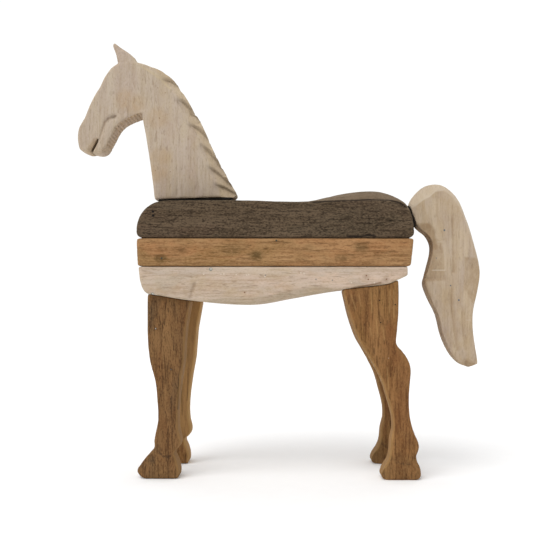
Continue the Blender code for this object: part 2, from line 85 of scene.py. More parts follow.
# Chisel marks differ this much in size, in lean and in depth
CHISEL_SIZES = (0.6, 1.3)
CHISEL_LEANS = (-0.2, 0.2)
CHISEL_DEPTHS = (0.5, 1.0)

# Rounds of smoothing from which a point's height over its surroundings is measured
WORN_ROUNDS = 6
FORM_ROUNDS = 8

# How far a point stands out or lies back where an edge or a hollow starts and is full
WORN_BEND = (0.0001, 0.0006)
EDGE_BEND = (0.00012, 0.0007)
HOLLOW_BEND = (0.00010, 0.0006)

# Reaches over which a bevel and a groove fade past their ends
BEVEL_FADE = 0.008
GROOVE_FADE = 0.003

# Share of its depth with which a groove starts, and share of a blob's radius that is full
GROOVE_START = 0.1
BLOB_CORE = 0.35

# Cells in which the height of a side face is kept, and how many cells it is carried on
FACE_CELL = 0.003
FACE_SPREAD = 4

# Saw marks under the jaw, and notches where the mane cuts reach the crest's outline
RIB_GAP = 0.0046
NOTCH_WIDTH = 0.0080
CREST_OUT = (0.82, 0.57)

# Two distances closer than this count as one
TIE = 0.000001

# Noise: keys that scatter its lattice, its range, and the layers that are added
LATTICE_KEYS = (73856093, 19349663, 83492791)
SEED_KEY = 668265263
SCATTER_KEY = 1274126177
NOISE_RANGE = 0xFFFF
NOISE_LAYERS = 3
LAYERS_SPREAD = 1.6

# Left faces of the pieces, on which marks are placed as they are seen
HEAD_FACE_Y = -0.023
TAIL_FACE_Y = -0.0175
PLANK_FACE_Y = -0.075
FRONT_LEG_FACE_Y = -0.066
HIND_LEG_FACE_Y = -0.073

# Nail heads, holes, specks and painted highlights on nail heads, as column and row of the picture
HEAD_SPECKS = ((96.7, 114.3), (93.4, 115.6), (114.8, 43.8))
HEAD_FLECKS = (
    (157.6, 87.4), (165, 92.5), (159.5, 118), (155.5, 171), (170.5, 172), (124, 103),
)
TAIL_NAILS = ((444.4, 230.2), (459, 300.1))
TAIL_SPECKS = ((450.6, 285.6), (457.6, 352.5), (436.5, 258))
BACK_HOLES = ((152.8, 211.4), (153, 215.5))
MIDDLE_NAILS = ((276.4, 240.5), (161.6, 258.3))
BELLY_NAILS = ((210.7, 269.2), (152.4, 294.2))
BELLY_GLINTS = ((210.9, 268.9), (152.6, 293.9))
BELLY_PALE_FLECKS = (
    (203.7, 274.2), (220.9, 274.2), (223.8, 274), (236.2, 274.5), (246.3, 275), (248.7, 274.5),
    (264.9, 276.6), (300.8, 272.8), (304, 273.2), (351.6, 282.6), (374.5, 282.6),
)
BELLY_BROWN_FLECKS = (
    (366.4, 275.6), (368.3, 279.4), (386.5, 279.3), (244.6, 292.4), (366.9, 266.5),
)
BELLY_GREY_FLECKS = ((332.4, 280.2), (316, 279.3), (265.4, 275.2))
FRONT_LEG_NAILS = ((155.6, 328.6), (170.8, 369.6))
HIND_LEG_SPECKS = ((379.6, 300.3), (395.3, 304.6), (380.8, 322.5))
HIND_LEG_FLECKS = ((388.8, 358.2),)

# Distances from a spot's middle are multiplied by these, so that spots run deep along Y
SPOT_SQUEEZE = (1.0, 0.3, 1.0)

# Share of a spot's radius that is full
SPOT_CORE = 0.55

# Smudges on the middle plank
SMUDGE_STRENGTH = 1.35
SMUDGE_STRETCH = 1.35

# Scales of the patterns in the wood, in cells to the metre
BROAD_SCALE = 70.0
STREAK_SCALE = 380.0
PATCH_SCALE = 30.0
GRIT_SCALE = 620.0
ZONE_SCALE = 26.0
FILM_SCALE = 55.0
SOAK_SCALE = 160.0
RUB_SCALE = 150.0

# Values of the patterns at which each starts to show and shows in full
BROAD_BAND = (0.32, 0.70)
STREAK_BAND = (0.48, 0.64)
PATCH_BAND = (0.45, 0.70)
DARK_GRIT_BAND = (0.52, 0.68)
PALE_GRIT_BAND = (0.48, 0.32)
ZONE_BAND = (0.46, 0.62)
FILM_BAND = (0.38, 0.60)
SOAK_BAND = (0.25, 0.70)
RUB_BAND = (0.30, 0.60)
RING_BAND = (0.35, 1.0)
PIT_BAND = (0.60, 0.68)
GLOSS_BAND = (0.35, 0.70)

# Stains and painted shade show at least this much where the soak pattern is lowest
LEAST_SOAK = 0.45

# Runs along the grain of the broader patterns, of the rings and of the zones
NEAR_RUN = 0.5
RING_RUN = 0.12
ZONE_RUN = 0.4

# Shift of the patterns from one seed to the next, and shift of the rings' middle
SEED_SHIFT = (0.31, 0.17, 0.23)
PITH = (0.11, 0.19, 0.07)

# Growth rings: the gap between rings at a scale of 1, and how much they bend
RING_PERIOD = 0.314
RING_DISTORTION = 9.0

# Gloss of the wood, and the depth of the finest relief
SHEEN = 0.08
BUMP_DEPTH = 0.0006

# Sockets of a mix node that take and give colours
FIRST_COLOUR, SECOND_COLOUR, MIXED_COLOUR = 6, 7, 2

# The far front leg is paler than the near one, and the far hind leg is darker
FAR_FRONT_PALENESS = 0.45
FAR_HIND_DARKNESS = 0.14

# Floor
FLOOR_REACH = 6.0
FLOOR_SPECKLE = 40.0
FLOOR_TONES = ((0.93, 0.93, 0.93, 1.0), (0.90, 0.90, 0.90, 1.0))
FLOOR_ROUGHNESS = 0.95

# Light: dimmer on the camera's side, bright beyond the horse, with a soft sun overhead
FRONT_GLOW = 0.46
REAR_GLOW = 1.05
GLOW_EDGE = 0.5
SUN_STRENGTH = 1.9
SUN_FROM = (-0.35, -0.55, 1.0)
SUN_WIDTH = math.radians(50)


# Noise and relief

def lattice_noise(points, seed):
    """Smooth noise of -1 to 1 with its bumps about one unit apart."""
    cell = np.floor(points).astype(np.int64)
    part = points - cell
    part = part * part * (3 - 2 * part)
    total = np.zeros(len(points))
    for corner in itertools.product((0, 1), repeat=3):
        key = (cell + np.array(corner)) @ np.array(LATTICE_KEYS)
        key = key + seed * SEED_KEY
        key = (key ^ (key >> 13)) * SCATTER_KEY
        key = (key ^ (key >> 16)) & NOISE_RANGE
        weight = np.prod(np.where(np.array(corner) == 1, part, 1 - part), axis=1)
        total += weight * (key / (NOISE_RANGE / 2) - 1)
    return total


def layered_noise(points, seed):
    """Noise with finer and weaker layers added."""
    total = np.zeros(len(points))
    for layer in range(NOISE_LAYERS):
        total += lattice_noise(points * 2 ** layer, seed + layer) / 2 ** layer
    return total / LAYERS_SPREAD


def stretched(points, axis, across, along):
    """Points in units of the grain's fineness across it and its run along it."""
    size = np.full(3, across)
    size[axis] = along
    return points / size


def rise(value, low, high):
    """Smooth step from 0 at the low value to 1 at the high one."""
    share = np.clip((value - low) / (high - low), 0, 1)
    return share * share * (3 - 2 * share)


def seen(marks, face_y):
    """Carry marks, given as column and row of the picture, along the view onto a face."""
    reach = (face_y - CAMERA_PLACE[Y_AXIS]) / FOCAL_PIXELS
    middle = FRAME_PIXELS / 2
    columns, rows = np.array(marks, float).T
    along = CAMERA_PLACE[X_AXIS] + (columns - middle + SHIFT_PIXELS[0]) * reach
    up = CAMERA_PLACE[Z_AXIS] + (middle + SHIFT_PIXELS[1] - rows) * reach
    return np.stack((along, up), axis=1)


def pinned(marks, face_y):
    """Places in space of marks seen in the picture on a face."""
    return [(along, face_y, up) for along, up in seen(marks, face_y).tolist()]


def follow(points, line):
    """Distance from a line, positive on its left, run along it, and reach past its ends."""
    nearest = np.full(len(points), np.inf)
    beside = np.zeros(len(points))
    run = np.zeros(len(points))
    walked = 0.0
    for start, end in zip(line[:-1], line[1:]):
        step = end - start
        length = np.hypot(*step)
        offset = points - start
        share = np.clip(offset @ step / length ** 2, 0, 1)
        gap = np.linalg.norm(offset - share[:, None] * step, axis=1)
        side = (step[ALONG] * offset[:, UP] - step[UP] * offset[:, ALONG]) / length
        level = (gap < nearest + TIE) & (abs(side) > abs(beside))
        closer = (gap < nearest - TIE) | level
        nearest = np.where(closer, gap, nearest)
        beside = np.where(closer, side, beside)
        run = np.where(closer, walked + share * length, run)
        walked += length
    signed = np.where(beside < 0, -nearest, nearest)
    first = (line[1] - line[0]) / np.hypot(*(line[1] - line[0]))
    last = (line[-1] - line[-2]) / np.hypot(*(line[-1] - line[-2]))
    before = np.where(run <= 0, (line[0] - points) @ first, 0)
    after = np.where(run >= walked, (points - line[-1]) @ last, 0)
    return signed, run, np.maximum(np.maximum(before, after), 0)


def bevel(points, line, slope, reach):
    """Depth of a sloping facet that starts at a line and falls to its left."""
    signed, _, past = follow(points, line)
    return slope * np.clip(signed, 0, reach) * (1 - rise(past, 0, BEVEL_FADE))


def groove(points, line, depth, left, right, ramp=0.004):
    """Depth of a groove with a wall of its own width on each side, shallow where it starts."""
    signed, run, past = follow(points, line)
    wall = np.where(signed > 0, signed / left, -signed / right)
    start = GROOVE_START + (1 - GROOVE_START) * np.clip(run / ramp, 0, 1)
    return depth * np.clip(1 - wall, 0, 1) * start * (1 - rise(past, 0, GROOVE_FADE))


def blobs(points, centres, radius, stretch=1.0):
    """Soft round marks, 1 in their middles; a stretch above 1 lengthens them along X."""
    total = np.zeros(len(points))
    for centre in centres:
        offset = (points - centre) / (radius * stretch, radius)
        total = np.maximum(total, 1 - rise(np.linalg.norm(offset, axis=1), BLOB_CORE, 1.0))
    return total


def almond(points, centre, turn, length, width):
    """Bowl of a long scoop: 1 in its middle, 0 at its rim and outside."""
    along = np.array((math.cos(turn), math.sin(turn)))
    offset = points - centre
    run = offset @ along / (length / 2)
    across = (offset[:, UP] * along[ALONG] - offset[:, ALONG] * along[UP]) / (width / 2)
    return np.clip(1 - run ** 2 - across ** 2, 0, 1)


def chisel_marks(points, count, length, width, depth, turn, seed):
    """Depth of shallow overlapping cuts of a broad chisel."""
    low, high = points.min(axis=0), points.max(axis=0)
    chance = np.random.default_rng(seed)
    total = np.zeros(len(points))
    for _ in range(count):
        centre = low + (high - low) * chance.random(2)
        size = chance.uniform(*CHISEL_SIZES)
        lean = turn + chance.uniform(*CHISEL_LEANS)
        bowl = almond(points, centre, lean, length * size, width * size)
        total = np.maximum(total, depth * chance.uniform(*CHISEL_DEPTHS) * bowl)
    return total


def chiselled_sides(points, count, length, width, depth, turn, seed):
    """Chisel marks for the left side and for the right one."""
    return [
        chisel_marks(points, count, length, width, depth, turn, side_seed)
        for side_seed in (seed, seed + 1)
    ]


# Meshes

def read_coords(mesh):
    """Places of a mesh's points."""
    flat = np.empty(len(mesh.vertices) * 3, np.float32)
    mesh.vertices.foreach_get("co", flat)
    return flat.reshape(-1, 3).astype(float)


def write_coords(mesh, coords):
    """Move a mesh's points."""
    mesh.vertices.foreach_set("co", coords.astype(np.float32).ravel())
    mesh.update()


class Blank:
    """A node's solid as a fine mesh, ready for relief and for painted masks."""

    def __init__(self, node, grain_axis, fine, coarser):
        self.node = node
        self.axis = grain_axis
        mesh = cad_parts[node].data.copy()
        squeeze = np.ones(3)
        squeeze[grain_axis] = 1 / coarser
        solid = read_coords(mesh)
        self.low, self.high = solid.min(axis=0), solid.max(axis=0)
        write_coords(mesh, solid * squeeze)
        helper = bpy.data.objects.new(node + "_blank", mesh)
        bpy.context.scene.collection.objects.link(helper)
        remesh = helper.modifiers.new("even", "REMESH")
        remesh.mode = "VOXEL"
        remesh.voxel_size = fine
        graph = bpy.context.evaluated_depsgraph_get()
        self.mesh = bpy.data.meshes.new_from_object(helper.evaluated_get(graph))
        bpy.data.objects.remove(helper)
        self.coords = read_coords(self.mesh) / squeeze
        self.edges = np.empty(len(self.mesh.edges) * 2, np.int32)
        self.mesh.edges.foreach_get("vertices", self.edges)
        self.edges = self.edges.reshape(-1, 2)
        self.links = np.bincount(self.edges.ravel(), minlength=len(self.coords))[:, None]
        for _ in range(SMOOTHING_ROUNDS):
            self.coords = self.averaged(self.coords, STEP_IN)
            self.coords = self.averaged(self.coords, STEP_OUT)
        self.middle = (self.coords[:, Y_AXIS].min() + self.coords[:, Y_AXIS].max()) / 2
        self.refresh()
        self.masks = {}

    def averaged(self, values, weight):
        """Values moved by a share of the way to the mean of their neighbours."""
        first, second = self.edges.T
        total = np.empty_like(values)
        for column in range(values.shape[1]):
            total[:, column] = (
                np.bincount(first, values[second, column], len(values))
                + np.bincount(second, values[first, column], len(values))
            )
        return values + weight * (total / self.links - values)

    def refresh(self):
        """Work out the normals of the present shape."""
        write_coords(self.mesh, self.coords)
        flat = np.empty(len(self.mesh.vertices) * 3, np.float32)
        self.mesh.vertex_normals.foreach_get("vector", flat)
        self.normals = flat.reshape(-1, 3).astype(float)

    def push(self, depth):
        """Take wood away, by a depth for each point."""
        cut = np.maximum(depth, 0) * rise(self.coords[:, Z_AXIS], SOLE_KEPT / 2, SOLE_KEPT)
        self.coords = self.coords - self.normals * cut[:, None]
        self.refresh()

    def press(self, centre, depth, width, outward):
        """Press a smooth dent into the outline round a place of the side view."""
        gap = np.linalg.norm(self.flat() - centre, axis=1)
        share = depth * (1 - rise(gap, 0, width))
        self.coords[:, X_AXIS] -= share * outward[ALONG]
        self.coords[:, Z_AXIS] -= share * outward[UP]
        self.refresh()

    def flat(self):
        """Points in the side view."""
        return self.coords[:, (X_AXIS, Z_AXIS)]

    def face_height(self, height):
        """Height of the side face at each point, carried on past its rounded edges."""
        place = ((self.flat() - self.flat().min(axis=0)) / FACE_CELL).astype(int) + FACE_SPREAD
        grid = np.zeros(place.max(axis=0) + 1 + FACE_SPREAD)
        np.maximum.at(grid, tuple(place.T), height)
        wide = grid.copy()
        for shift in itertools.product(range(-FACE_SPREAD, FACE_SPREAD + 1), repeat=2):
            wide = np.maximum(wide, np.roll(grid, shift, axis=(0, 1)))
        return wide[tuple(place.T)]

    def carve(self, both, left, right):
        """Cut the side faces back, by a depth for both and one more for each."""
        for side, own in ((LEFT, left), (RIGHT, right)):
            depth = both + own
            height = side * (self.coords[:, Y_AXIS] - self.middle)
            ceiling = self.face_height(height) - depth
            cut = (depth > 0) & (height > ceiling) & (height > 0)
            level = np.where(cut, ceiling, height)
            self.coords[:, Y_AXIS] = self.middle + side * level
        self.refresh()

    def convexity(self, rounds):
        """How far each point stands out from its surroundings, in metres."""
        smooth = self.coords
        for _ in range(rounds):
            smooth = self.averaged(smooth, 1.0)
        return np.einsum("ij,ij->i", self.coords - smooth, self.normals)

    def finish(self, material):
        """Turn the blank into the piece that replaces its node, kept inside its box."""
        write_coords(self.mesh, np.clip(self.coords, self.low, self.high))
        for mask, values in self.masks.items():
            layer = self.mesh.attributes.new(mask, "FLOAT", "POINT")
            layer.data.foreach_set("value", values.astype(np.float32))
        self.mesh.materials.clear()
        self.mesh.materials.append(material)
        self.mesh.shade_smooth()
        piece = bpy.data.objects.new("horse_" + self.node, self.mesh)
        bpy.context.scene.collection.objects.link(piece)
        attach(piece, "root")
        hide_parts(self.node)


def grain_relief(blank, depth, across, along, seed):
    """Fine ridges along the grain, cut no deeper than the given depth."""
    noise = layered_noise(stretched(blank.coords, blank.axis, across, along), seed)
    return depth * rise(noise, *RIDGE_BAND)


def worn_edges(blank, depth, seed):
    """Wear that takes edges back unevenly."""
    edge = rise(blank.convexity(WORN_ROUNDS), *WORN_BEND)
    noise = layered_noise(blank.coords / WEAR_SPACING, seed)
    uneven = LEAST_WEAR + (1 - LEAST_WEAR) * rise(noise, *WEAR_BAND)
    return depth * edge * uneven


def paint_form(blank):
    """Keep masks of the form's edges and hollows, and start the painted masks empty."""
    bend = blank.convexity(FORM_ROUNDS)
    blank.masks["edge"] = rise(bend, *EDGE_BEND)
    blank.masks["hollow"] = rise(-bend, *HOLLOW_BEND)
    # painted masks: stains with painted shade, bare wood with painted highlights, dark marks with
    # painted shade
    for mask in ("stain_and_shade", "bare_and_highlight", "dark_marks_and_shade"):
        blank.masks[mask] = np.zeros(len(blank.coords))


def paint(blank, mask, strength, both=False):
    """Add to a painted mask, on the left half alone unless both are asked for."""
    half = 1.0 if both else blank.coords[:, Y_AXIS] < blank.middle
    blank.masks[mask] = np.clip(blank.masks[mask] + strength * half, 0, 1)


# Materials

def linear(red, green, blue):
    """Linear colour of a screen colour given as 0 to 255 a channel."""
    channels = np.array((red, green, blue)) / 255
    curve = np.where(channels > 0.04045, ((channels + 0.055) / 1.055) ** 2.4, channels / 12.92)
    return (*curve.tolist(), 1.0)


class Graph:
    """Lays out the nodes of one material."""

    def __init__(self, name):
        self.material = bpy.data.materials.new(name)
        self.material.use_nodes = True
        self.tree = self.material.node_tree
        self.shader = self.tree.nodes["Principled BSDF"]
        self.place = self.add("ShaderNodeTexCoord", {}, {}).outputs["Object"]

    def add(self, kind, settings, inputs):
        """Add a node, with its settings and with values or links for its inputs."""
        node = self.tree.nodes.new(kind)
        for key, value in settings.items():
            setattr(node, key, value)
        for key, value in inputs.items():
            self.feed(node.inputs[key], value)
        return node

    def feed(self, socket, value):
        """Give an input a link or a constant."""
        if isinstance(value, bpy.types.NodeSocket):
            self.tree.links.new(value, socket)
        else:
            socket.default_value = value

    def mapped(self, scale, shift):
        """Object coordinates, shifted and then scaled."""
        moved = self.vector("ADD", self.place, shift)
        return self.vector("MULTIPLY", moved, scale)

    def vector(self, operation, first, second):
        """Vector arithmetic."""
        node = self.add("ShaderNodeVectorMath", {"operation": operation}, {0: first, 1: second})
        return node.outputs[0]

    def math(self, operation, first, second):
        """Number arithmetic."""
        node = self.add("ShaderNodeMath", {"operation": operation}, {0: first, 1: second})
        return node.outputs[0]

    def noise(self, vector, scale, detail=3.0, roughness=0.55, distortion=0.0):
        """Noise value of about 0 to 1."""
        inputs = {"Vector": vector, "Scale": scale, "Detail": detail}
        inputs.update({"Roughness": roughness, "Distortion": distortion})
        return self.add("ShaderNodeTexNoise", {}, inputs).outputs[0]

    def step(self, value, low, high, bottom=0.0, top=1.0):
        """Smooth step between two values."""
        inputs = {0: value, 1: low, 2: high, 3: bottom, 4: top}
        node = self.add("ShaderNodeMapRange", {"interpolation_type": "SMOOTHSTEP"}, inputs)
        return node.outputs[0]

    def mix(self, share, first, second):
        """Mix of two colours."""
        inputs = {0: share, FIRST_COLOUR: first, SECOND_COLOUR: second}
        node = self.add("ShaderNodeMix", {"data_type": "RGBA"}, inputs)
        return node.outputs[MIXED_COLOUR]

    def over(self, colour, tone, pattern, share):
        """A colour with a tone laid over it where a pattern shows, up to a share."""
        return self.mix(self.math("MULTIPLY", pattern, share), colour, tone)

    def spots(self, centres, radius):
        """1 inside small spots round the given places, 0 outside, deeper along Y."""
        total = 0.0
        squeezed = self.vector("MULTIPLY", self.place, SPOT_SQUEEZE)
        for centre in centres:
            settings = {"operation": "DISTANCE"}
            middle = [part * share for part, share in zip(centre, SPOT_SQUEEZE)]
            gap = self.add("ShaderNodeVectorMath", settings, {0: squeezed, 1: middle})
            spot = self.step(gap.outputs["Value"], radius, radius * SPOT_CORE)
            total = self.math("MAXIMUM", spot, total)
        return total

    def mask(self, name):
        """A mask painted on the mesh."""
        settings = {"attribute_name": name, "attribute_type": "GEOMETRY"}
        return self.add("ShaderNodeAttribute", settings, {}).outputs["Fac"]


def grain_scale(axis, run):
    """Scale that stretches a pattern along the grain."""
    scale = [1.0, 1.0, 1.0]
    scale[axis] = run
    return scale


def wood(name, axis, tones, seed, ring_share, streak, pores, edge_tone, edge_share, rough, bump,
         ring_gap=0.0035, blotch=0.5, hollow_shade=0.5, grit_share=0.3, wash=0.0, wash_tone=None,
         stain_and_shade_tone=None, bare_and_highlight_tone=None, dark_marks_and_shade_tone=None, zone_tones=(), zone_share=0.0,
         run=0.06, dash_run=0.18, dash_scale=420.0, spots=()):
    """Wood with growth rings, streaks, pores, blotches, a thin wash, worn edges and painted shade
    in its hollows.

    The four tones go from light to deep. The smaller a run is, the longer is its pattern
    along the grain.
    """
    light, middle, dark, deep = (linear(*tone) for tone in tones)
    graph = Graph(name)
    shift = [step * seed for step in SEED_SHIFT]
    long_place = graph.mapped(grain_scale(axis, run), shift)
    short_place = graph.mapped(grain_scale(axis, dash_run), shift)
    near_place = graph.mapped(grain_scale(axis, NEAR_RUN), shift)
    pith = list(PITH)
    pith[axis] = 0.0

    waves = graph.add(
        "ShaderNodeTexWave",
        {"wave_type": "RINGS", "rings_direction": "XYZ"[axis], "wave_profile": "SAW"},
        {
            "Vector": graph.mapped(grain_scale(axis, RING_RUN), pith),
            "Scale": RING_PERIOD / ring_gap,
            "Distortion": RING_DISTORTION,
            "Detail": 3.0,
            "Detail Scale": 0.35,
            "Detail Roughness": 0.5,
        },
    ).outputs["Fac"]
    rings = graph.step(waves, *RING_BAND)
    streaks = graph.noise(long_place, STREAK_SCALE, 3.0, 0.6, 0.3)
    broad = graph.noise(long_place, BROAD_SCALE, 3.0, 0.5, 0.4)
    dashes = graph.noise(short_place, dash_scale, 2.0, 0.5, 0.2)
    pits = graph.step(dashes, *PIT_BAND)
    patches = graph.noise(near_place, PATCH_SCALE, 3.0, 0.55, 0.6)
    grit = graph.noise(near_place, GRIT_SCALE, 2.0, 0.6)

    colour = graph.mix(graph.step(broad, *BROAD_BAND), light, middle)
    colour = graph.over(colour, dark, rings, ring_share)
    colour = graph.over(colour, middle, graph.step(patches, *PATCH_BAND), blotch)
    for number, tone in enumerate(zone_tones):
        offset = (1.7 * number + 0.4 * seed, 0.6, 0.9)
        place = graph.mapped(grain_scale(axis, ZONE_RUN), offset)
        zone = graph.step(graph.noise(place, ZONE_SCALE, 3.0, 0.6, 0.5), *ZONE_BAND)
        colour = graph.over(colour, linear(*tone), zone, zone_share)
    if wash_tone:
        film = graph.step(graph.noise(near_place, FILM_SCALE, 5.0, 0.7), *FILM_BAND)
        colour = graph.over(colour, linear(*wash_tone), film, wash)
    # one mask and one tone carry real stains and painted shade
    if stain_and_shade_tone:
        soak = graph.step(graph.noise(near_place, SOAK_SCALE, 3.0), *SOAK_BAND, LEAST_SOAK)
        colour = graph.over(colour, linear(*stain_and_shade_tone), graph.mask("stain_and_shade"), soak)
    colour = graph.over(colour, dark, graph.step(streaks, *STREAK_BAND), streak)
    colour = graph.over(colour, dark, graph.step(grit, *DARK_GRIT_BAND), grit_share)
    colour = graph.over(colour, light, graph.step(grit, *PALE_GRIT_BAND), grit_share)
    colour = graph.over(colour, deep, pits, pores)
    rub = graph.noise(graph.place, RUB_SCALE, 3.0)
    worn = graph.math("MULTIPLY", graph.mask("edge"), graph.step(rub, *RUB_BAND))
    colour = graph.over(colour, linear(*edge_tone), worn, edge_share)
    # painted shade: the deep tone laid over the hollows of the form
    colour = graph.over(colour, deep, graph.mask("hollow"), hollow_shade)
    # one mask and one tone carry bare, bleached wood and painted highlights
    if bare_and_highlight_tone:
        colour = graph.mix(graph.mask("bare_and_highlight"), colour, linear(*bare_and_highlight_tone))
    # one mask and one tone carry dark marks and painted shade in cuts and gaps
    if dark_marks_and_shade_tone:
        colour = graph.mix(graph.mask("dark_marks_and_shade"), colour, linear(*dark_marks_and_shade_tone))
    for tone, radius, centres in spots:
        colour = graph.mix(graph.spots(centres, radius), colour, linear(*tone))
    graph.feed(graph.shader.inputs["Base Color"], colour)
    roughness = graph.step(streaks, *GLOSS_BAND, *rough)
    graph.feed(graph.shader.inputs["Roughness"], roughness)
    graph.shader.inputs["Specular IOR Level"].default_value = SHEEN

    height = graph.math("MULTIPLY", streaks, -0.8)
    for pattern, share in ((rings, -0.2), (pits, -0.5), (grit, 0.4)):
        height = graph.math("ADD", height, graph.math("MULTIPLY", pattern, share))
    relief = graph.add(
        "ShaderNodeBump", {}, {"Strength": bump, "Distance": BUMP_DEPTH, "Height": height}
    )
    graph.feed(graph.shader.inputs["Normal"], relief.outputs[0])
    return graph.material


PALE = wood(
    "pale_wood", Z_AXIS,
    ((193, 178, 158), (181, 162, 138), (154, 132, 108), (118, 96, 74)),
    seed=1, ring_gap=0.0050, ring_share=0.12, streak=0.30, pores=0.30, blotch=0.35,
    wash=0.45, wash_tone=(182, 166, 154), edge_tone=(194, 174, 144), edge_share=0.35,
    hollow_shade=0.40, stain_and_shade_tone=(176, 148, 112), bare_and_highlight_tone=(194, 176, 143),
    dark_marks_and_shade_tone=(120, 108, 92), grit_share=0.26, rough=(0.80, 0.95), bump=0.45,
    zone_tones=((176, 155, 142), (186, 170, 146)), zone_share=0.45,
    spots=(
        ((112, 90, 66), 0.0012, pinned(HEAD_SPECKS, HEAD_FACE_Y)),
        ((138, 112, 84), 0.0011, pinned(HEAD_FLECKS, HEAD_FACE_Y)),
    ),
)
TAIL_WOOD = wood(
    "tail_wood", Z_AXIS,
    ((196, 178, 153), (187, 166, 139), (160, 136, 110), (122, 101, 78)),
    seed=2, ring_gap=0.0070, ring_share=0.12, streak=0.30, pores=0.20, blotch=0.5,
    wash=0.40, wash_tone=(184, 167, 152), edge_tone=(204, 184, 154), edge_share=0.35,
    hollow_shade=0.30, stain_and_shade_tone=(156, 130, 98), bare_and_highlight_tone=(206, 192, 172), grit_share=0.22,
    rough=(0.80, 0.95), bump=0.4,
    zone_tones=((168, 150, 138), (178, 154, 120)), zone_share=0.55,
    spots=(
        ((98, 106, 112), 0.0017, pinned(TAIL_NAILS, TAIL_FACE_Y)),
        ((98, 106, 112), 0.0012, pinned(TAIL_SPECKS, TAIL_FACE_Y)),
    ),
)
BELLY = wood(
    "belly_wood", X_AXIS,
    ((204, 186, 164), (182, 160, 134), (150, 125, 97), (110, 88, 64)),
    seed=3, ring_gap=0.0070, ring_share=0.10, streak=0.34, pores=0.30, blotch=0.35,
    wash=0.50, wash_tone=(200, 183, 170), edge_tone=(204, 186, 160), edge_share=0.3,
    hollow_shade=0.40, stain_and_shade_tone=(168, 153, 128), dark_marks_and_shade_tone=(112, 84, 60), grit_share=0.26,
    rough=(0.80, 0.95), bump=0.4,
    zone_tones=((206, 178, 158), (172, 160, 144)), zone_share=0.55,
    spots=(
        ((132, 132, 126), 0.0030, pinned(BELLY_NAILS, PLANK_FACE_Y)),
        # painted highlight on each nail head
        ((204, 200, 190), 0.0014, pinned(BELLY_GLINTS, PLANK_FACE_Y)),
        ((208, 194, 176), 0.0012, pinned(BELLY_PALE_FLECKS, PLANK_FACE_Y)),
        ((128, 96, 74), 0.0013, pinned(BELLY_BROWN_FLECKS, PLANK_FACE_Y)),
        ((140, 134, 126), 0.0013, pinned(BELLY_GREY_FLECKS, PLANK_FACE_Y)),
    ),
)
DARK = wood(
    "dark_wood", X_AXIS,
    ((108, 91, 72), (75, 61, 45), (41, 32, 24), (24, 19, 14)),
    seed=4, ring_gap=0.0036, ring_share=0.25, streak=0.60, pores=0.5, blotch=0.4,
    wash=0.30, wash_tone=(100, 84, 68), edge_tone=(104, 89, 69), edge_share=0.3,
    hollow_shade=0.5, bare_and_highlight_tone=(142, 124, 102), dark_marks_and_shade_tone=(28, 24, 22), grit_share=0.80,
    rough=(0.70, 0.90), bump=0.9, run=0.10, dash_run=0.20,
    dash_scale=560.0, zone_tones=((74, 66, 52), (90, 70, 56)), zone_share=0.45,
    spots=(((34, 32, 32), 0.0020, pinned(BACK_HOLES, PLANK_FACE_Y)),),
)
TAN = wood(
    "tan_wood", X_AXIS,
    ((178, 139, 97), (152, 114, 75), (106, 74, 45), (72, 50, 31)),
    seed=5, ring_gap=0.0055, ring_share=0.22, streak=0.50, pores=0.4, blotch=0.4,
    wash=0.30, wash_tone=(162, 130, 92), edge_tone=(164, 128, 88), edge_share=0.3,
    hollow_shade=0.5, stain_and_shade_tone=(92, 72, 42), grit_share=0.40, rough=(0.75, 0.92), bump=0.6,
    run=0.08,
    zone_tones=((168, 118, 78), (134, 104, 62)), zone_share=0.55,
    spots=(((66, 70, 62), 0.0016, pinned(MIDDLE_NAILS, PLANK_FACE_Y)),),
)
BROWN = wood(
    "front_leg_wood", Z_AXIS,
    ((140, 105, 68), (116, 83, 52), (70, 48, 31), (40, 29, 21)),
    seed=6, ring_gap=0.0045, ring_share=0.22, streak=0.62, pores=0.55, blotch=0.4,
    wash=0.25, wash_tone=(132, 102, 68), edge_tone=(142, 110, 72), edge_share=0.35,
    hollow_shade=0.5, stain_and_shade_tone=(78, 64, 48), bare_and_highlight_tone=(150, 116, 74), dark_marks_and_shade_tone=(34, 28, 24),
    grit_share=0.45, rough=(0.70, 0.88), bump=0.7, run=0.08, dash_run=0.18, dash_scale=600.0,
    zone_tones=((112, 74, 44), (98, 78, 56)), zone_share=0.50,
    spots=(
        ((70, 62, 52), 0.0018, pinned(FRONT_LEG_NAILS, FRONT_LEG_FACE_Y)),
        # painted highlight in the middle of each nail head
        ((196, 192, 184), 0.0008, pinned(FRONT_LEG_NAILS, FRONT_LEG_FACE_Y)),
    ),
)
RUSSET = wood(
    "hind_leg_wood", Z_AXIS,
    ((156, 115, 72), (128, 89, 53), (84, 54, 32), (50, 34, 23)),
    seed=8, ring_gap=0.0045, ring_share=0.22, streak=0.62, pores=0.45, blotch=0.4,
    wash=0.25, wash_tone=(146, 110, 72), edge_tone=(152, 116, 74), edge_share=0.35,
    hollow_shade=0.5, stain_and_shade_tone=(92, 70, 46), bare_and_highlight_tone=(172, 136, 88), dark_marks_and_shade_tone=(34, 28, 24),
    grit_share=0.35, rough=(0.70, 0.88), bump=0.6, run=0.06, dash_run=0.12, dash_scale=520.0,
    zone_tones=((122, 76, 44), (140, 106, 62)), zone_share=0.50,
    spots=(
        ((40, 32, 26), 0.0012, pinned(HIND_LEG_SPECKS, HIND_LEG_FACE_Y)),
        ((198, 190, 178), 0.0008, pinned(HIND_LEG_FLECKS, HIND_LEG_FACE_Y)),
    ),
)
BLACK = wood(
    "black_wood", X_AXIS,
    ((34, 30, 27), (27, 24, 21), (18, 16, 14), (10, 9, 8)),
    seed=7, ring_share=0.3, streak=0.5, pores=0.4, edge_tone=(52, 45, 39), edge_share=0.3,
    rough=(0.60, 0.80), bump=0.5,
)


# Pieces

